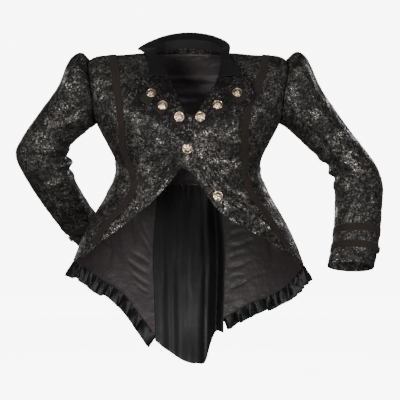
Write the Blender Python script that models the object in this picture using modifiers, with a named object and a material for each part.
"""Steampunk tailcoat jacket, filled out as if worn, with nobody inside.

The front faces -Y, +X is to the right of somebody looking at the front, and +Z is up. The origin is
the middle of the base of the neck, where the wearer's neck and shoulders hold the jacket up.
Lengths are in metres. "Left" and "right" are as seen from the front.

The body is a tube of rings, from the neck down to the tails. A place on it is an angle round the
body (0 at the centre front, 90 degrees at the right side, 180 at the centre back) and a row, which
is the number of the ring and a share of the way to the next. Panels are cut from that tube along
their seams. Sleeves are lofts from the armhole through sections of the arm.
"""

import math

import bmesh
import bpy
import numpy as np
from mathutils import Vector
from mathutils.bvhtree import BVHTree

COLLECTION = "tailcoat_jacket"

# Thickness of each cloth, and the gaps between pieces
CLOTH = 0.0016
SATIN = 0.0012
LINING = 0.0010
BRAID = 0.0012
SEAM_GAP = 0.0003
FRONT_GAPS = 1.8
BACK_GAPS = 1.3
LAY_GAP = 0.0008

# How square the body's rings are: 1 is an ellipse, and less is squarer
SQUARENESS = 0.8

RING_COLUMNS = ("side_z", "front_z", "back_z", "half_width", "front_depth", "back_depth")
RINGS = (
    # level, then the columns above
    ("neck", 0.000, -0.060, 0.017, 0.078, 0.055, 0.062),
    ("mid shoulder", -0.006, -0.085, -0.020, 0.152, 0.088, 0.085),
    ("shoulder tip", -0.019, -0.112, -0.065, 0.234, 0.112, 0.102),
    ("mid armhole", -0.095, -0.145, -0.122, 0.250, 0.126, 0.112),
    ("armpit", -0.173, -0.180, -0.176, 0.219, 0.132, 0.114),
    ("under bust", -0.225, -0.225, -0.225, 0.192, 0.126, 0.106),
    ("waist", -0.278, -0.278, -0.278, 0.171, 0.116, 0.100),
    ("high hip", -0.335, -0.335, -0.335, 0.192, 0.130, 0.122),
    ("hip", -0.392, -0.392, -0.392, 0.225, 0.150, 0.148),
    ("peplum", -0.450, -0.450, -0.450, 0.254, 0.166, 0.172),
    ("side hem", -0.512, -0.512, -0.512, 0.278, 0.178, 0.192),
    ("tail", -0.585, -0.585, -0.585, 0.296, 0.190, 0.208),
    ("low tail", -0.665, -0.665, -0.665, 0.305, 0.200, 0.220),
    ("tail end", -0.790, -0.790, -0.790, 0.312, 0.210, 0.232),
)

# The bust cups: how far out from the centre, how high, how wide and how full
CUP_ACROSS = 0.100
CUP_HEIGHT = -0.190
CUP_SPREAD = 0.050
CUP_RISE = 0.022

# Rows where the pieces start and end
SHOULDER_TIP_ROW = 2.0
ARMPIT_ROW = 4.0
WAIST_SEAM_ROW = 6.63
ARMHOLE_STEPS = 12
SIDE_STEPS = 8
FRONT_COLUMNS = 12
SIDE_FRONT_COLUMNS = 4
SIDE_BACK_COLUMNS = 10
BACK_COLUMNS = 10
LINING_START = 11
ARMHOLE_ANGLE = math.radians(28)
ARMHOLE_ROUNDNESS = 0.75

# Seam lines over the fronts, under the braid, from the shoulder down
SEAM_COLUMNS = ("height", "across")
FRONT_SEAM = {
    "left": (
        (-0.012, 0.178),
        (-0.067, 0.168),
        (-0.127, 0.158),
        (-0.187, 0.151),
        (-0.235, 0.148),
        (-0.271, 0.136),
        (-0.307, 0.124),
        (-0.336, 0.127),
        (-0.367, 0.146),
        (-0.400, 0.176),
        (-0.470, 0.225),
        (-0.500, 0.246),
    ),
    "right": (
        (-0.012, 0.185),
        (-0.055, 0.176),
        (-0.103, 0.158),
        (-0.144, 0.139),
        (-0.187, 0.132),
        (-0.259, 0.132),
        (-0.302, 0.134),
        (-0.331, 0.143),
        (-0.355, 0.157),
        (-0.400, 0.188),
        (-0.470, 0.235),
        (-0.500, 0.255),
    ),
}
BACK_SEAM = (
    (-0.004, 0.125),
    (-0.080, 0.112),
    (-0.170, 0.098),
    (-0.278, 0.072),
    (-0.360, 0.080),
    (-0.480, 0.092),
    (-0.600, 0.090),
    (-0.720, 0.086),
)

# Height of the hem at each angle from the centre front, in degrees
HEM_COLUMNS = ("angle", "height")
HEM = {
    "left": (
        (0, -0.271),
        (5, -0.297),
        (12, -0.332),
        (20, -0.367),
        (32, -0.409),
        (47, -0.452),
        (63, -0.490),
        (78, -0.502),
        (92, -0.508),
        (116, -0.522),
        (132, -0.552),
        (154, -0.612),
        (165, -0.684),
        (169, -0.714),
        (180, -0.752),
    ),
    "right": (
        (0, -0.280),
        (5, -0.313),
        (12, -0.366),
        (20, -0.400),
        (32, -0.428),
        (47, -0.458),
        (64, -0.490),
        (78, -0.508),
        (96, -0.520),
        (114, -0.545),
        (125, -0.568),
        (140, -0.598),
        (157, -0.628),
        (166, -0.656),
        (170, -0.668),
        (180, -0.690),
    ),
}
# The neck's edge of each front, from the closure up to the shoulder
NECKLINE_COLUMNS = ("across", "height")
NECKLINE = {
    "left": (
        (0.002, -0.166),
        (0.010, -0.147),
        (0.019, -0.130),
        (0.029, -0.104),
        (0.044, -0.078),
        (0.055, -0.048),
        (0.070, -0.024),
        (0.078, 0.000),
    ),
    "right": (
        (0.006, -0.184),
        (0.012, -0.166),
        (0.026, -0.148),
        (0.038, -0.132),
        (0.052, -0.108),
        (0.066, -0.085),
        (0.074, -0.056),
        (0.079, -0.026),
        (0.078, 0.000),
    ),
}

# The closure: the left front laps over the right one
LAP_LEFT = 0.011
LAP_RIGHT = 0.016
LAP_DEPTH = CLOTH + 0.0016
LAP_FADE = (0.020, 0.075)

# Large folds of the fronts, pulled from the closure.
# Columns: from across, from height, to across, to height, width, depth
FRONT_FOLDS = {
    "left": (
        (-0.016, -0.245, -0.135, -0.372, 0.011, 0.0045),
        (-0.034, -0.236, -0.125, -0.300, 0.014, 0.0035),
        (-0.058, -0.216, -0.130, -0.170, 0.016, -0.0035),
    ),
    "right": (
        (0.022, -0.246, 0.105, -0.366, 0.011, 0.0045),
        (0.034, -0.232, 0.122, -0.318, 0.014, 0.0040),
        (0.056, -0.212, 0.120, -0.170, 0.016, -0.0035),
    ),
}

# Sections of the arms: the edge nearer the body and the outer edge, seen from the front, then the
# middle's depth and half the thickness from front to back.
# Columns: inner across, inner height, outer across, outer height, middle depth, half the thickness
ARMS = {
    "left": (
        ("head", -0.229, -0.179, -0.259, -0.006, -0.002, 0.076),
        ("crown", -0.240, -0.186, -0.285, -0.027, 0.000, 0.079),
        ("upper arm", -0.254, -0.198, -0.311, -0.082, 0.006, 0.070),
        ("biceps", -0.274, -0.213, -0.350, -0.134, 0.014, 0.060),
        ("above elbow", -0.290, -0.234, -0.398, -0.200, 0.022, 0.057),
        ("elbow", -0.286, -0.264, -0.418, -0.246, 0.030, 0.056),
        ("below elbow", -0.280, -0.296, -0.392, -0.308, 0.046, 0.052),
        ("mid forearm", -0.264, -0.334, -0.356, -0.370, 0.078, 0.047),
        ("lower forearm", -0.240, -0.378, -0.322, -0.422, 0.114, 0.043),
        ("cuff", -0.216, -0.416, -0.298, -0.452, 0.146, 0.038),
        ("cuff end", -0.190, -0.446, -0.274, -0.482, 0.174, 0.034),
    ),
    "right": (
        ("head", 0.234, -0.180, 0.262, -0.004, -0.002, 0.076),
        ("crown", 0.246, -0.190, 0.286, -0.022, 0.000, 0.080),
        ("upper arm", 0.264, -0.206, 0.314, -0.078, 0.004, 0.072),
        ("biceps", 0.290, -0.230, 0.345, -0.129, 0.008, 0.063),
        ("above elbow", 0.318, -0.256, 0.390, -0.192, 0.010, 0.058),
        ("elbow", 0.343, -0.288, 0.446, -0.262, 0.006, 0.056),
        ("below elbow", 0.350, -0.322, 0.466, -0.318, -0.004, 0.054),
        ("mid forearm", 0.350, -0.370, 0.462, -0.371, -0.020, 0.051),
        ("lower forearm", 0.345, -0.420, 0.455, -0.424, -0.040, 0.047),
        ("cuff", 0.337, -0.466, 0.446, -0.472, -0.058, 0.043),
        ("cuff end", 0.326, -0.508, 0.434, -0.515, -0.074, 0.040),
    ),
}
SLEEVE_ROWS = (0, 0.6, 1.3, 2, 3, 4, 5, 5.5, 6, 6.5, 7, 8, 9.05, 9.40, 9.85, 10.20, 11)
SLEEVE_BANDS = {"upper": (9.05, 9.40), "lower": (9.85, 10.20)}
GATHERS = 6
GATHER_DEPTH = 0.0035
ELBOW_ROW = 6.0
ELBOW_FOLD = 0.006

# The collar's leaf round the neck: where it leaves the neck, as an angle, and its edge.
# Columns: angle in degrees, then the edge's across, depth and height
COLLAR = (
    ("left side", -80, -0.110, -0.022, -0.002),
    ("left fold", -101, -0.121, 0.014, 0.010),
    ("left back", -130, -0.088, 0.060, 0.036),
    ("back left", -156, -0.046, 0.080, 0.053),
    ("centre back", -180, 0.003, 0.085, 0.059),
    ("back right", -204, 0.050, 0.080, 0.053),
    ("right back", -230, 0.084, 0.058, 0.038),
    ("right fold", -259, 0.100, 0.012, 0.020),
    ("right side", -280, 0.101, -0.022, 0.002),
)
COLLAR_STEPS = 5
STAND_HEIGHT = 0.014
STAND_START = math.radians(80)

# The part of the leaf that lies on each front, from the neck's side down to the gorge.
# Columns: root across and height, edge across and height
COLLAR_FRONT = {
    "left": (
        (0.071, -0.020, 0.094, -0.024),
        (0.056, -0.046, 0.093, -0.046),
        (0.044, -0.0705, 0.092, -0.0705),
    ),
    "right": (
        (0.079, -0.020, 0.100, -0.022),
        (0.076, -0.046, 0.115, -0.046),
        (0.070, -0.0705, 0.128, -0.0705),
    ),
}

# The lapels: the roll line and the outer edge, as (across, height), row by row from the gorge down
LAPEL_COLUMNS = ("roll_x", "roll_z", "edge_x", "edge_z")
LAPELS = {
    "left": (
        (-0.044, -0.0712, -0.092, -0.0712),
        (-0.036, -0.087, -0.113, -0.090),
        (-0.029, -0.102, -0.136, -0.108),
        (-0.023, -0.116, -0.133, -0.127),
        (-0.017, -0.130, -0.128, -0.144),
        (-0.009, -0.145, -0.098, -0.161),
        (-0.001, -0.160, -0.066, -0.178),
        (0.005, -0.178, -0.038, -0.197),
        (0.008, -0.197, -0.016, -0.212),
        (0.007, -0.216, 0.001, -0.223),
    ),
    "right": (
        (0.070, -0.0712, 0.128, -0.0712),
        (0.064, -0.086, 0.141, -0.084),
        (0.056, -0.099, 0.150, -0.099),
        (0.048, -0.112, 0.155, -0.115),
        (0.040, -0.126, 0.143, -0.135),
        (0.032, -0.140, 0.110, -0.154),
        (0.024, -0.152, 0.080, -0.171),
        (0.018, -0.164, 0.054, -0.185),
        (0.016, -0.178, 0.034, -0.198),
        (0.015, -0.193, 0.020, -0.208),
    ),
}
LAPEL_LIFT = 0.0012
LAPEL_STAND = 0.0036
LAPEL_COLUMNS_ACROSS = 7

# Tabs on the lapels: the button's place, the way up the tab in degrees from +X, and how far the tab
# goes on past the button's middle, towards the neck and towards the lapel's lower edge.
# Columns: side, across, height, heading, inner length, outer length
TABS = (
    ("left", -0.083, -0.116, 51, 0.016, 0.026),
    ("left", -0.057, -0.144, 51, 0.016, 0.018),
    ("left", -0.020, -0.168, 52, 0.012, 0.016),
    ("right", 0.031, -0.168, 124, 0.012, 0.012),
    ("right", 0.070, -0.143, 124, 0.016, 0.018),
    ("right", 0.113, -0.114, 124, 0.016, 0.022),
)
TAB_WIDTH = 0.026
TAB_GAP = 0.0009

# Buttons: radius and height of the dome, and those that aren't on a tab
BUTTON_RADIUS = 0.0115
BUTTON_RISE = 0.0052
BUTTON_STEPS = 12
# Columns: share of the radius, share of the rise
BUTTON_PROFILE = (
    (0.0, 1.00),
    (0.35, 0.94),
    (0.68, 0.66),
    (0.80, 0.52),
    (0.93, 0.62),
    (1.0, 0.42),
    (0.86, 0.0),
    (0.0, 0.0),
)
CUFF_BUTTON_RADIUS = 0.0085
CLOSURE_BUTTON = (0.000, -0.2373)
LOWER_BUTTON = (0.069, -0.3476)

BRAID_WIDTH = 0.019
BRAID_GAP = 0.0014

# Ruffles on the hem of the side tails, and how far they stop from the ends of the hem
RUFFLE_WAVES = 14
RUFFLE_STEPS = 5
RUFFLE_DROP = 0.036
RUFFLE_DEPTH = 0.0065
RUFFLE_FLARE = 0.008
RUFFLE_ENDS = (0.002, 0.004)

# The satin centre tail: its end at each share of its width, from the right edge to the left one, and
# its folds (columns: share, width, depth outwards)
TAIL_COLUMNS = 16
TAIL_ROWS = 12
TAIL_END_COLUMNS = ("share", "height")
TAIL_END = (
    (0.0, -0.700),
    (0.12, -0.704),
    (0.18, -0.726),
    (0.25, -0.772),
    (0.36, -0.781),
    (0.5, -0.782),
    (0.68, -0.767),
    (0.85, -0.746),
    (1.0, -0.722),
)
TAIL_FOLDS = ((0.10, 0.07, 0.022), (0.25, 0.07, -0.014), (0.52, 0.10, 0.008), (0.76, 0.12, 0.014))

MATERIALS = {
    # name: colour, roughness, metallic
    "foil_cloth": ((0.020, 0.019, 0.019), 0.45, 0.25),
    "satin": ((0.012, 0.012, 0.012), 0.35, 0.0),
    "lining": ((0.050, 0.043, 0.044), 0.45, 0.0),
    "braid": ((0.028, 0.024, 0.020), 0.75, 0.0),
    "button_metal": ((0.800, 0.680, 0.520), 0.25, 1.0),
}


def column(table, columns, name):
    """One named column of a table whose rows may start with the row's own name."""
    offset = 1 if isinstance(table[0][0], str) else 0
    return np.array([row[columns.index(name) + offset] for row in table], float)


def curve_through(knots, values, at):
    """Smooth curve through values at the knots, which rise. Values may be points."""
    knots, values = np.asarray(knots, float), np.asarray(values, float)
    at = np.clip(at, knots[0], knots[-1])
    flat = (-1,) + (1,) * (values.ndim - 1)
    steps = np.diff(knots).reshape(flat)
    slopes = np.diff(values, axis=0) / steps
    inner = (slopes[:-1] * steps[1:] + slopes[1:] * steps[:-1]) / (steps[:-1] + steps[1:])
    tangents = np.concatenate((slopes[:1], inner, slopes[-1:]))
    place = np.clip(np.searchsorted(knots, at, side="right") - 1, 0, len(knots) - 2)
    width = knots[place + 1] - knots[place]
    share = (at - knots[place]) / width
    lift = share.shape + (1,) * (values.ndim - 1)
    share, width = share.reshape(lift), width.reshape(lift)
    start, end = values[place], values[place + 1]
    square, cube = share**2, share**3
    return (
        start * (2 * cube - 3 * square + 1)
        + tangents[place] * width * (cube - 2 * square + share)
        + end * (3 * square - 2 * cube)
        + tangents[place + 1] * width * (cube - square)
    )


def ring(name, row):
    """One column of the rings' table at any row."""
    return curve_through(np.arange(len(RINGS)), column(RINGS, RING_COLUMNS, name), row)


def fade(value, start, end):
    """0 up to start, 1 from end, and smooth between."""
    share = np.clip((value - start) / (end - start), 0, 1)
    return share * share * (3 - 2 * share)


def body(angle, row):
    """Point on the outside of the body tube, at an angle in radians and a row."""
    angle, row = np.broadcast_arrays(np.asarray(angle, float), np.asarray(row, float))
    across, ahead = np.sin(angle), np.cos(angle)
    in_front = ahead > 0
    depth = np.where(in_front, ring("front_depth", row), ring("back_depth", row))
    middle_z = np.where(in_front, ring("front_z", row), ring("back_z", row))
    side_z = ring("side_z", row)
    x = ring("half_width", row) * np.sign(across) * np.abs(across) ** SQUARENESS
    y = -depth * np.sign(ahead) * np.abs(ahead) ** SQUARENESS
    z = side_z + (middle_z - side_z) * ahead**2
    from_cup = (np.abs(x) - CUP_ACROSS) ** 2 + (z - CUP_HEIGHT) ** 2
    y = y - np.where(in_front, ahead, 0) * CUP_RISE * np.exp(-from_cup / (2 * CUP_SPREAD**2))
    return np.stack((x, y, z), axis=-1)


def body_normal(angle, row):
    """Direction straight out of the body tube."""
    turn, drop = 0.012, 0.04
    along = body(angle + turn, row) - body(angle - turn, row)
    low, high = np.maximum(np.asarray(row) - drop, 0), np.asarray(row) + drop
    down = body(angle, high) - body(angle, low)
    out = np.cross(down, along)
    return out / np.linalg.norm(out, axis=-1, keepdims=True)


def row_at(angle, height):
    """The row whose point at this angle has this height, by halving."""
    angle, height = np.broadcast_arrays(np.asarray(angle, float), np.asarray(height, float))
    low, high = np.zeros(angle.shape), np.full(angle.shape, len(RINGS) - 1.0)
    for _ in range(30):
        middle = (low + high) / 2
        above = body(angle, middle)[..., 2] > height
        low, high = np.where(above, middle, low), np.where(above, high, middle)
    return (low + high) / 2


def place_of(across, height, back=False):
    """Angle and row of the point that lies at (across, height) as seen from the front, on the front
    half or on the back half, by looking over ever finer grids."""
    across, height = np.broadcast_arrays(np.asarray(across, float), np.asarray(height, float))
    middle = math.pi if back else 0.0
    low, high = middle - math.pi / 2, middle + math.pi / 2
    turn = middle - np.sign(across) * 0.8 if back else np.sign(across) * 0.8
    turn = np.broadcast_to(turn, across.shape)
    row = np.full(across.shape, 6.5)
    steps = np.linspace(-1, 1, 21)
    reach = 1.0
    for _ in range(16):
        angles = np.clip(turn[..., None, None] + steps[:, None] * 0.9 * reach, low, high)
        rows = np.clip(row[..., None, None] + steps[None, :] * 6.5 * reach, 0, len(RINGS) - 1)
        angles, rows = np.broadcast_arrays(angles, rows)
        points = body(angles, rows)
        miss_x = points[..., 0] - across[..., None, None]
        miss_z = points[..., 2] - height[..., None, None]
        flat = (miss_x**2 + miss_z**2).reshape(across.shape + (-1,))
        best = np.argmin(flat, axis=-1)[..., None]
        turn = np.take_along_axis(angles.reshape(flat.shape), best, axis=-1)[..., 0]
        row = np.take_along_axis(rows.reshape(flat.shape), best, axis=-1)[..., 0]
        reach *= 0.45
    return turn, row


def armhole_opening(row):
    """Half the armhole's width, as an angle, at each row."""
    share = np.clip((np.asarray(row, float) - SHOULDER_TIP_ROW) / (ARMPIT_ROW - SHOULDER_TIP_ROW), 0, 1)
    return ARMHOLE_ANGLE * np.abs(np.sin(math.pi * share)) ** ARMHOLE_ROUNDNESS


def hem_row(side, angle):
    """Row of the hem at an angle that is never negative."""
    height = curve_through(
        np.radians(column(HEM[side], HEM_COLUMNS, "angle")), column(HEM[side], HEM_COLUMNS, "height"), angle
    )
    return row_at(angle, height)


def fold_rise(folds, x, z):
    """How far a set of folds lifts the cloth at (x, z): a soft ridge along each line."""
    rise = np.zeros(np.shape(x))
    for from_x, from_z, to_x, to_z, width, depth in folds:
        run = np.array((to_x - from_x, to_z - from_z))
        length = np.hypot(*run)
        run = run / length
        along = (x - from_x) * run[0] + (z - from_z) * run[1]
        beside = (z - from_z) * run[0] - (x - from_x) * run[1]
        ends = fade(along, -width, 2 * width) * (1 - fade(along, length - 4 * width, length))
        rise = rise + depth * ends * np.exp(-((beside / width) ** 2))
    return rise


def spaced(places, count):
    """Count places at equal steps of length along a line of (angle, row) on the body."""
    points = body(places[:, 0], places[:, 1])
    length = np.concatenate(((0,), np.cumsum(np.linalg.norm(np.diff(points, axis=0), axis=-1))))
    at = np.linspace(0, length[-1], count)
    return np.stack([np.interp(at, length, places[:, k]) for k in (0, 1)], axis=-1)


def seam_line(line, side, back=False):
    """A seam from the shoulder to the hem, as a dense line of (angle, row), angles never negative."""
    heights, across = column(line, SEAM_COLUMNS, "height"), column(line, SEAM_COLUMNS, "across")
    at = np.linspace(0, len(line) - 1, 241)
    x, z = curve_through(np.arange(len(line)), across, at), curve_through(np.arange(len(line)), heights, at)
    turn, row = place_of(x, z, back)
    turn[0] = math.pi / 2
    past = row > hem_row(side, turn)
    end = int(np.argmax(past)) if past.any() else len(row) - 1
    return np.stack((turn, row), axis=-1)[: end + 1]


def shoulder(start, end, count):
    """Places along the shoulder seam between two rows."""
    return np.stack((np.full(count, math.pi / 2), np.linspace(start, end, count)), axis=-1)


def along_hem(side, start, end, count):
    """Places along the hem between two angles."""
    angles = np.linspace(start, end, count)
    return np.stack((angles, hem_row(side, angles)), axis=-1)


def patch(top, bottom, inner, outer):
    """Places inside four edges: each pair of edges blended, less the blend of the corners."""
    s = np.linspace(0, 1, len(top))[None, :, None]
    t = np.linspace(0, 1, len(inner))[:, None, None]
    sides = (1 - s) * inner[:, None] + s * outer[:, None]
    ends = (1 - t) * top[None] + t * bottom[None]
    corners = (1 - t) * ((1 - s) * top[0] + s * top[-1]) + t * ((1 - s) * bottom[0] + s * bottom[-1])
    return sides + ends - corners


def drawn_in(points):
    """How far to move each border point of a grid, so that two pieces keep their gap at a seam."""
    move = np.zeros(points.shape)
    for border, next_in in ((0, 1), (-1, -2)):
        step = points[next_in, :] - points[border, :]
        move[border, :] += step / np.linalg.norm(step, axis=-1, keepdims=True)
        step = points[:, next_in] - points[:, border]
        move[:, border] += step / np.linalg.norm(step, axis=-1, keepdims=True)
    return move * SEAM_GAP


def mirrored(points, side):
    """Points made for the right side, moved to the side that is asked for."""
    return points * np.array((1.0 if side == "right" else -1.0, 1.0, 1.0))


def add_object(name, mesh, material):
    obj = bpy.data.objects.new(name, mesh)
    mesh.materials.append(bpy.data.materials[material])
    bpy.data.collections[COLLECTION].objects.link(obj)
    return obj


def cloth(name, points, material, thickness=CLOTH, closed=False, offset=-1.0):
    """A piece of cloth: an open loft over a grid of points whose columns run to the right when seen
    from outside and whose rows run down, given its thickness. With closed, the columns go round."""
    rows, columns = points.shape[:2]
    index = np.arange(rows * columns).reshape(rows, columns)
    if closed:
        index = np.concatenate((index, index[:, :1]), axis=1)
    faces = np.stack((index[:-1, :-1], index[1:, :-1], index[1:, 1:], index[:-1, 1:]), axis=-1)
    mesh = bpy.data.meshes.new(name)
    mesh.from_pydata(points.reshape(-1, 3).tolist(), [], faces.reshape(-1, 4).tolist())
    shape = bmesh.new()
    shape.from_mesh(mesh)
    bmesh.ops.triangulate(shape, faces=shape.faces[:], quad_method="FIXED")
    shape.to_mesh(mesh)
    shape.free()
    mesh.shade_smooth()
    obj = add_object(name, mesh, material)
    wall = obj.modifiers.new("cloth thickness", "SOLIDIFY")
    wall.thickness = thickness
    wall.offset = offset
    return obj


def body_points(places, side, lift=0.0):
    """Points on the body for places made for the right side, lifted straight out. The grid's columns
    come out running to the right, whichever side it is for."""
    turn, row = places[..., 0], places[..., 1]
    if side == "left":
        turn = -turn
    points = body(turn, row) + body_normal(turn, row) * np.asarray(lift)[..., None]
    return points[:, ::-1] if side == "left" else points


def grid_normals(points, closed=False):
    """Directions straight out of a grid whose columns run to the right and whose rows run down."""
    if closed:
        wide = np.concatenate((points[:, -1:], points, points[:, :1]), axis=1)
        along = np.gradient(wide, axis=1)[:, 1:-1]
    else:
        along = np.gradient(points, axis=1)
    down = np.gradient(points, axis=0)
    out = np.cross(down, along)
    return out / np.linalg.norm(out, axis=-1, keepdims=True)


def surface_above(names, point, out, spread=0.0):
    """How far out of a point the outermost surface of the named pieces is, or nan if none is there."""
    deps = bpy.context.evaluated_depsgraph_get()
    out, point = Vector(out), Vector(point)
    aside = out.orthogonal().normalized()
    starts = [point]
    for turn in np.linspace(0, 2 * math.pi, 8, endpoint=False):
        starts.append(point + (aside * math.cos(turn) + out.cross(aside) * math.sin(turn)) * spread)
    found = []
    for name in names:
        tree = BVHTree.FromObject(bpy.data.objects[name], deps)
        for start in starts:
            hit = tree.ray_cast(start + out * 0.05, -out, 0.08)[0]
            if hit is not None:
                found.append((hit - start).dot(out))
    return max(found, default=math.nan)


def make_materials():
    for name, (colour, roughness, metallic) in MATERIALS.items():
        material = bpy.data.materials.new(name)
        material.use_nodes = True
        shader = material.node_tree.nodes["Principled BSDF"]
        shader.inputs["Base Color"].default_value = (*colour, 1)
        shader.inputs["Roughness"].default_value = roughness
        shader.inputs["Metallic"].default_value = metallic


def armhole_rows():
    """Rows of the armhole's points, from the shoulder's tip down to the armpit."""
    return SHOULDER_TIP_ROW + (ARMPIT_ROW - SHOULDER_TIP_ROW) * np.arange(ARMHOLE_STEPS + 1) / ARMHOLE_STEPS


def side_edge(side, facing):
    """The armhole's edge and the side seam below it, on the front (-1) or the back (1)."""
    rows = armhole_rows()
    hole = np.stack((math.pi / 2 + facing * armhole_opening(rows), rows), axis=-1)
    below = np.linspace(ARMPIT_ROW, float(hem_row(side, np.array([math.pi / 2]))[0]), 60)
    seam = spaced(np.stack((np.full(60, math.pi / 2), below), axis=-1), SIDE_STEPS + 1)
    return np.concatenate((hole, seam[1:]))


def front_seam(side):
    """The seam under the braid: the same points for both of the pieces that meet in it."""
    return spaced(seam_line(FRONT_SEAM[side], side), ARMHOLE_STEPS + SIDE_STEPS + 1)


def back_seam(side):
    """The seam beside the centre back, with a point where the waist seam meets it."""
    line = seam_line(BACK_SEAM, side, back=True)
    waist = int(np.argmax(line[:, 1] > WAIST_SEAM_ROW))
    above = spaced(line[: waist + 1], ARMHOLE_STEPS + 1)
    return np.concatenate((above, spaced(line[waist:], SIDE_STEPS + 1)[1:]))


def make_fronts():
    """The two fronts, from the centre front out to the braid."""
    for side in ("left", "right"):
        seam = front_seam(side)
        outer = np.concatenate((shoulder(0, seam[0, 1], 5)[:-1], seam))
        lap = LAP_LEFT if side == "left" else LAP_RIGHT
        neck = NECKLINE[side]
        neck_x, neck_z = (column(neck, NECKLINE_COLUMNS, name) for name in NECKLINE_COLUMNS)
        at = np.linspace(0, len(neck) - 1, 60)
        knots = np.arange(len(neck))
        turn, row = place_of(curve_through(knots, neck_x, at), curve_through(knots, neck_z, at))
        start = row[0]
        end = float(hem_row(side, np.array([0.0]))[0])
        edge_rows = np.linspace(start, end, 60)
        edge_turn = -np.arcsin((lap / ring("half_width", edge_rows)) ** (1 / SQUARENESS))
        inner = spaced(np.stack((edge_turn, edge_rows), axis=-1), len(outer))
        corner = np.array([[math.pi / 2, 0.0]])
        top = np.concatenate((inner[:1], np.stack((turn, row), axis=-1)[2:-1], corner))
        top = spaced(top, FRONT_COLUMNS + 1)
        hem_angles = np.linspace(inner[-1, 0], seam[-1, 0], 80)
        hem = np.stack((hem_angles, hem_row(side, np.maximum(hem_angles, 0))), axis=-1)
        hem = spaced(hem, FRONT_COLUMNS + 1)
        flat = [body(edge[:, 0], edge[:, 1])[:, ::2] for edge in (top, hem, inner, outer)]
        seen = patch(*flat)
        places = np.stack(place_of(seen[..., 0], seen[..., 1]), axis=-1)
        places[0], places[-1], places[:, 0], places[:, -1] = top, hem, inner, outer
        points = body_points(places, side)
        share = np.linspace(0, 1, FRONT_COLUMNS + 1)
        share = share[::-1] if side == "left" else share
        x, z = points[..., 0], points[..., 2]
        rise = fold_rise(FRONT_FOLDS[side], x, z) * (1 - share**3)
        if side == "right":
            rise = rise - LAP_DEPTH * (1 - fade(x, *LAP_FADE))
        rise = rise[:, ::-1] if side == "left" else rise
        points = body_points(places, side, rise)
        cloth(f"front_{side}", points + drawn_in(points) * FRONT_GAPS, "foil_cloth")


def beside_seam(side, distance):
    """Places beside the front seam, at a distance from it towards the armhole."""
    seam = front_seam(side)
    middle, out = body(seam[:, 0], seam[:, 1]), body_normal(seam[:, 0], seam[:, 1])
    aside = np.cross(out, np.gradient(middle, axis=0))
    aside *= distance / np.linalg.norm(aside, axis=-1, keepdims=True)
    turn_step = (body(seam[:, 0] - 0.01, seam[:, 1]) - middle) / -0.01
    row_step = (body(seam[:, 0], seam[:, 1] + 0.01) - middle) / 0.01
    moves = []
    for step_a, step_b, wanted in zip(turn_step, row_step, aside):
        moves.append(np.linalg.lstsq(np.stack((step_a, step_b), axis=-1), wanted, rcond=None)[0])
    places = seam + np.array(moves)
    pace = np.linalg.norm(ring("half_width", seam[0, 1] + 0.1) - ring("half_width", seam[0, 1])) / 0.1
    places[0] = (math.pi / 2, seam[0, 1] + distance / pace)
    turn = places[-1, 0]
    places[-1] = (turn, float(hem_row(side, np.array([turn]))[0]))
    places[:, 0] = np.minimum(places[:, 0], math.pi / 2)
    return places


def make_side_fronts():
    """From the braid to the armhole and the side seam. The braid's edge is one of the columns."""
    for side in ("left", "right"):
        seam, inner, outer = front_seam(side), beside_seam(side, BRAID_WIDTH / 2), side_edge(side, -1)
        top = shoulder(inner[0, 1], SHOULDER_TIP_ROW, SIDE_FRONT_COLUMNS + 1)
        hem = along_hem(side, inner[-1, 0], math.pi / 2, SIDE_FRONT_COLUMNS + 1)
        places = np.concatenate((seam[:, None], patch(top, hem, inner, outer)), axis=1)
        points = body_points(places, side)
        cloth(f"side_front_{side}", points + drawn_in(points) * FRONT_GAPS, "foil_cloth")


def side_back_places(side):
    inner, outer = side_edge(side, 1), back_seam(side)
    top = shoulder(SHOULDER_TIP_ROW, outer[0, 1], SIDE_BACK_COLUMNS + 1)
    hem = along_hem(side, math.pi / 2, outer[-1, 0], SIDE_BACK_COLUMNS + 1)
    return patch(top, hem, inner, outer)


def straight(angle):
    """Share of the half-width at each angle, which runs evenly across the back."""
    return np.sign(np.sin(angle)) * np.abs(np.sin(angle)) ** SQUARENESS


def centre_back_places():
    """The centre back, whose columns run from the left seam to the right one, down to the waist."""
    seams = []
    for side in ("right", "left"):
        seam = back_seam(side)
        edge = np.concatenate((shoulder(0, seam[0, 1], 3)[:-1], seam[: ARMHOLE_STEPS + 1]))
        if side == "left":
            edge = edge * np.array((-1, 1)) + np.array((2 * math.pi, 0))
        seams.append(edge)
    right, left = (np.stack((straight(edge[:, 0]), edge[:, 1]), axis=-1) for edge in seams)
    share = np.linspace(0, 1, BACK_COLUMNS + 1)[:, None]
    top, bottom = (right[end] + (left[end] - right[end]) * share for end in (0, -1))
    grid = patch(top, bottom, right, left)
    across = grid[..., 0]
    grid[..., 0] = math.pi - np.sign(across) * np.arcsin(np.abs(across) ** (1 / SQUARENESS))
    return grid


def make_backs():
    """The two side backs, which run down into the side tails, and the centre back to the waist."""
    for side in ("left", "right"):
        points = body_points(side_back_places(side), side)
        cloth(f"side_back_{side}", points + drawn_in(points) * BACK_GAPS, "foil_cloth")
    points = body_points(centre_back_places(), "right")
    cloth("centre_back", points + drawn_in(points) * BACK_GAPS, "foil_cloth")


def make_linings():
    """Linings that show: inside the side tails, and inside the back as seen through the neck."""
    inside = -(CLOTH + LAY_GAP)
    for side in ("left", "right"):
        places = side_back_places(side)[LINING_START:, 1:]
        points = body_points(places, side, np.full(places.shape[:2], inside))
        cloth(f"tail_lining_{side}", points, "lining", LINING)
    places = centre_back_places()[1:, 1:-1]
    points = body_points(places, "right", np.full(places.shape[:2], inside))
    cloth("back_lining", points, "lining", LINING)


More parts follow.
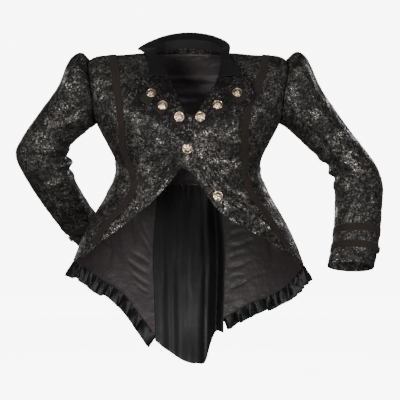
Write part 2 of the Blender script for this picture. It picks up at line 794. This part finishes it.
def armhole_ring(side):
    """The armhole's points: shoulder tip, down the front edge to the armpit, and up the back edge."""
    rows = armhole_rows()
    front = body(math.pi / 2 - armhole_opening(rows), rows)
    back = body(math.pi / 2 + armhole_opening(rows), rows)
    return mirrored(np.concatenate((front, back[-2:0:-1])), side)


def arm_ring(section, tangent, count):
    """An oval round one section of the arm, starting at its outer edge and going forward first."""
    inner_x, inner_z, outer_x, outer_z, middle_y, half_depth = section
    middle = np.array(((inner_x + outer_x) / 2, middle_y, (inner_z + outer_z) / 2))
    half_width = np.array(((outer_x - inner_x) / 2, 0, (outer_z - inner_z) / 2))
    depth = np.array((0.0, 1.0, 0.0))
    depth = depth - tangent * (depth @ tangent)
    depth = depth / np.linalg.norm(depth) * half_depth
    turn = np.linspace(0, 2 * math.pi, count, endpoint=False)[:, None]
    return middle + half_width * np.cos(turn) - depth * np.sin(turn)


def sleeve_rise(rows, count):
    """Gathers under the armhole seam, over the sleeve's top, and the folds in the elbow's crook."""
    rows = np.asarray(rows, float)[:, None]
    turn = np.linspace(0, 2 * math.pi, count, endpoint=False)[None, :]
    top = fade(np.cos(turn), -0.2, 0.4)
    gathers = GATHER_DEPTH * top * np.cos(GATHERS * turn) * fade(rows, 0, 1) * (1 - fade(rows, 1.5, 3.2))
    crook = fade(-np.cos(turn), -0.1, 0.7)
    past_elbow = rows - ELBOW_ROW
    folds = ELBOW_FOLD * crook * np.cos(2 * math.pi * past_elbow) * np.exp(-(past_elbow**2))
    return gathers + folds


def sleeve_grid(side):
    """The sleeve's outside and the directions out of it, at each of SLEEVE_ROWS, row 0 being the
    armhole. The columns run to the right, and column 0 is the sleeve's outer edge."""
    arm = [section[1:] for section in ARMS[side]]
    middles = np.array([((s[0] + s[2]) / 2, s[4], (s[1] + s[3]) / 2) for s in arm])
    tangents = np.gradient(middles, axis=0)
    tangents /= np.linalg.norm(tangents, axis=-1, keepdims=True)
    seam = armhole_ring(side)
    inward = (seam.mean(axis=0) - seam) * np.array((0, 1, 1))
    inward /= np.linalg.norm(inward, axis=-1, keepdims=True)
    start = seam + inward * SEAM_GAP * 2 + np.array((SEAM_GAP if side == "right" else -SEAM_GAP, 0, 0))
    rings = [start] + [arm_ring(s, t, len(seam)) for s, t in zip(arm, tangents)]
    points = curve_through(np.arange(len(rings)), np.array(rings), np.asarray(SLEEVE_ROWS, float))
    rise = sleeve_rise(SLEEVE_ROWS, points.shape[1])[..., None]
    if side == "right":
        points, rise = (np.roll(grid[:, ::-1], 1, axis=1) for grid in (points, rise))
    out = grid_normals(points, closed=True)
    return points + out * rise, out


def make_sleeves():
    for side in ("left", "right"):
        points, out = sleeve_grid(side)
        cloth(f"sleeve_{side}", points, "foil_cloth", closed=True)
        for name, ends in SLEEVE_BANDS.items():
            at = [SLEEVE_ROWS.index(row) for row in ends]
            over = points[at] + out[at] * (LAY_GAP / 2 + BRAID)
            cloth(f"band_{name}_{side}", over, "braid", BRAID, closed=True)


def make_braids():
    """The braid over each front's seam, made from the points of the seam and beside it."""
    for side in ("left", "right"):
        edges = [beside_seam(side, distance) for distance in (-BRAID_WIDTH / 2, BRAID_WIDTH / 2)]
        places = np.stack((edges[0], front_seam(side), edges[1]), axis=1)[1:-1]
        points = body_points(places, side, np.full(places.shape[:2], BRAID_GAP + BRAID))
        cloth(f"braid_{side}", points, "braid", BRAID)


def on_chest(x, z, lift):
    """Points lifted off the fronts, at the places (x, z) as seen from the front."""
    turn, row = place_of(x, z)
    return body(turn, row) + body_normal(turn, row) * np.asarray(lift)[..., None]


def make_lapels():
    """The lapels lie close to the fronts at the roll line, and stand off over the braid."""
    share = np.linspace(0, 1, LAPEL_COLUMNS_ACROSS)[None, :]
    for side, table in LAPELS.items():
        columns = [column(table, LAPEL_COLUMNS, name)[:, None] for name in LAPEL_COLUMNS]
        roll_x, roll_z, edge_x, edge_z = columns
        x, z = roll_x + (edge_x - roll_x) * share, roll_z + (edge_z - roll_z) * share
        lift = LAPEL_LIFT + (LAPEL_STAND - LAPEL_LIFT) * share + CLOTH
        points = on_chest(x, z, np.broadcast_to(lift, x.shape))
        points = points[:, ::-1] if side == "left" else points
        cloth(f"lapel_{side}", points + drawn_in(points), "foil_cloth")


def make_tabs():
    """Three ribbed tabs on each lapel, square to its lower edge, under the buttons."""
    for number, (side, x, z, heading, inner, outer) in enumerate(TABS, start=1):
        heading = math.radians(heading)
        along = np.linspace(inner, -outer, 5)[:, None]
        across = np.linspace(-0.5, 0.5, 4)[None, :] * TAB_WIDTH
        tab_x = x + along * math.cos(heading) + across * math.sin(heading)
        tab_z = z + along * math.sin(heading) - across * math.cos(heading)
        turn, row = place_of(tab_x, tab_z)
        base, out = body(turn, row), body_normal(turn, row)
        lift = np.zeros(tab_x.shape)
        for place in np.ndindex(lift.shape):
            lift[place] = surface_above((f"lapel_{side}",), base[place], out[place], 0.002)
        lift = np.where(np.isnan(lift), np.nanmax(lift), lift)
        points = base + out * (lift + TAB_GAP + BRAID)[..., None]
        cloth(f"tab_{side}_{number}", points, "braid", BRAID)


def make_button(name, place, out, radius):
    """A turned metal button with a rolled rim and a low dome, its back on a place, facing out."""
    mesh = bpy.data.meshes.new(name)
    points = [(radius * r, 0, BUTTON_RISE * h * radius / BUTTON_RADIUS) for r, h in BUTTON_PROFILE]
    mesh.from_pydata(points, [(i, i + 1) for i in range(len(points) - 1)], [])
    obj = add_object(name, mesh, "button_metal")
    turned = obj.modifiers.new("turned", "SCREW")
    turned.steps = turned.render_steps = BUTTON_STEPS
    turned.use_merge_vertices = True
    turned.merge_threshold = 0.00005
    obj.location = place
    obj.rotation_mode = "QUATERNION"
    obj.rotation_quaternion = out.to_track_quat("Z", "Y")


def make_buttons():
    wanted = [
        (f"lapel_button_{number}", x, z, (f"tab_{side}_{number}", f"lapel_{side}"))
        for number, (side, x, z, _, _, _) in enumerate(TABS, start=1)
    ]
    wanted.append(("closure_button", *CLOSURE_BUTTON, ("front_left", "front_right")))
    wanted.append(("lower_button", *LOWER_BUTTON, ("front_right",)))
    for name, x, z, under in wanted:
        turn, row = place_of(np.array([x]), np.array([z]))
        base, out = body(turn, row)[0], body_normal(turn, row)[0]
        lift = surface_above(under, base, out, BUTTON_RADIUS) + SEAM_GAP
        make_button(name, Vector(base + out * lift), Vector(out), BUTTON_RADIUS)
    for side in ("left", "right"):
        points, out = sleeve_grid(side)
        at = SLEEVE_ROWS.index(SLEEVE_BANDS["lower"][0])
        base = (points[at, 0] + points[at + 1, 0]) / 2
        facing = (out[at, 0] + out[at + 1, 0]) / 2
        facing = facing / np.linalg.norm(facing)
        lift = surface_above((f"band_lower_{side}",), base, facing, CUFF_BUTTON_RADIUS) + SEAM_GAP
        make_button(f"cuff_button_{side}", Vector(base + facing * lift), Vector(facing), CUFF_BUTTON_RADIUS)


def stand_height(angle):
    """The stand is highest at the centre back, and runs out at the neck's sides."""
    return STAND_HEIGHT * fade(np.abs(np.sin(angle / 2)), math.sin(STAND_START / 2) - 0.05, 0.95)


def make_collar():
    """The stand round the back of the neck, and the leaf above it that runs down onto the fronts."""
    back = centre_back_places()[0, ::-1, 0]
    angles = np.concatenate(((2 * math.pi - STAND_START,), back, (STAND_START,)))
    base = body(angles, np.zeros(angles.shape)) + np.array((0, 0, SEAM_GAP * 2))
    height = np.stack((stand_height(angles) + 0.0015, np.zeros(angles.shape)))
    stand = base[None] + np.array((0, 0, 1.0)) * height[..., None]
    cloth("collar_stand", stand[:, ::-1], "satin", SATIN)

    share = np.linspace(0, 1, COLLAR_STEPS + 1)
    lines = []
    for side in ("left", "right"):
        sign = -1 if side == "left" else 1
        front = []
        for root_x, root_z, edge_x, edge_z in COLLAR_FRONT[side]:
            x, z = sign * (root_x + (edge_x - root_x) * share), root_z + (edge_z - root_z) * share
            front.append(on_chest(x, z, LAPEL_LIFT + (LAPEL_STAND - LAPEL_LIFT) * share + SATIN))
        lines.append(front)
    left, right = lines
    middle = []
    for _, angle, edge_x, edge_y, edge_z in COLLAR:
        angle = math.radians(angle)
        root = body(angle, 0.0) + np.array((0, 0, float(stand_height(angle)) + 0.0015 + SEAM_GAP * 5))
        middle.append(root + (np.array((edge_x, edge_y, edge_z)) - root) * share[:, None])
    lines = np.array(left[::-1] + middle + right)
    at = np.linspace(0, len(lines) - 1, 2 * len(lines) - 1)
    grid = curve_through(np.arange(len(lines)), lines, at)
    cloth("collar_leaf", np.swapaxes(grid, 0, 1), "satin", SATIN)


def make_ruffles():
    """A gathered frill under the hem of each side tail, from the panels' own bottom points."""
    share = np.linspace(0, 1, RUFFLE_WAVES * RUFFLE_STEPS + 1)
    for side in ("left", "right"):
        places = side_back_places(side)[-1]
        line = body(places[:, 0], places[:, 1])
        normals = body_normal(places[:, 0], places[:, 1])
        length = np.concatenate(((0,), np.cumsum(np.linalg.norm(np.diff(line, axis=0), axis=-1))))
        at = RUFFLE_ENDS[0] + (length[-1] - RUFFLE_ENDS[0] - RUFFLE_ENDS[1]) * share
        root = np.stack([np.interp(at, length, line[:, k]) for k in range(3)], axis=-1)
        out = np.stack([np.interp(at, length, normals[:, k]) for k in range(3)], axis=-1)
        run = np.gradient(root, axis=0)
        drop_way = np.cross(run, out)
        drop_way /= np.linalg.norm(drop_way, axis=-1, keepdims=True)
        drop_way = np.where(drop_way[:, 2:] > 0, -drop_way, drop_way)
        down = drop_way * 0.5 + np.array((0, 0, -0.5))
        down /= np.linalg.norm(down, axis=-1, keepdims=True)
        wave = np.sin(2 * math.pi * RUFFLE_WAVES * share)
        grid = []
        for drop in (0.0, 0.35, 1.0):
            lean = (RUFFLE_DEPTH * wave * fade(drop, -0.1, 0.8) + RUFFLE_FLARE * drop)[:, None]
            start = root - out * CLOTH / 2 + drop_way * SEAM_GAP * 2.5
            grid.append(start + down * RUFFLE_DROP * drop + out * lean)
        grid = mirrored(np.array(grid), side)
        grid = grid[:, ::-1] if side == "left" else grid
        cloth(f"ruffle_{side}", grid, "satin", SATIN, offset=0.0)


def make_tail():
    """The satin centre tail, gathered into the waist seam and hanging in deep folds between the two
    back seams. It is shorter under its right edge, where the deepest fold goes back."""
    seams = [back_seam(side)[ARMHOLE_STEPS:] for side in ("right", "left")]
    drops = np.linspace(0, 1, TAIL_ROWS + 1)[:, None]
    heights = [body(seam[:, 0], seam[:, 1])[:, 2] for seam in seams]
    across = [body(seam[:, 0], seam[:, 1])[:, 0] for seam in seams]
    share = np.linspace(0, 1, TAIL_COLUMNS + 1)[None, :]
    top = heights[0][0]
    end_share, end_height = (column(TAIL_END, TAIL_END_COLUMNS, name) for name in TAIL_END_COLUMNS)
    ends = curve_through(end_share, end_height, share[0])[None, :]
    z = top + (ends - top) * drops
    right, left = (np.interp(-z, -height, out) for height, out in zip(heights, across))
    x = right + (-left - right) * share
    turn, row = place_of(x, z, back=True)
    rise = np.zeros(x.shape)
    for place, width, depth in TAIL_FOLDS:
        rise = rise + depth * np.exp(-(((share - place) / width) ** 2))
    rise = rise * fade(drops, -0.15, 0.7) * (1 - np.abs(2 * share - 1) ** 6)
    points = body(turn, row) + body_normal(turn, row) * rise[..., None]
    cloth("centre_tail", points + drawn_in(points) * 1.5, "satin", SATIN)


def main():
    for obj in list(bpy.data.objects):
        bpy.data.objects.remove(obj, do_unlink=True)
    collection = bpy.data.collections.new(COLLECTION)
    bpy.context.scene.collection.children.link(collection)
    make_materials()
    make_fronts()
    make_side_fronts()
    make_backs()
    make_linings()
    make_sleeves()
    make_braids()
    make_lapels()
    make_tabs()
    make_collar()
    make_ruffles()
    make_tail()
    make_buttons()


main()
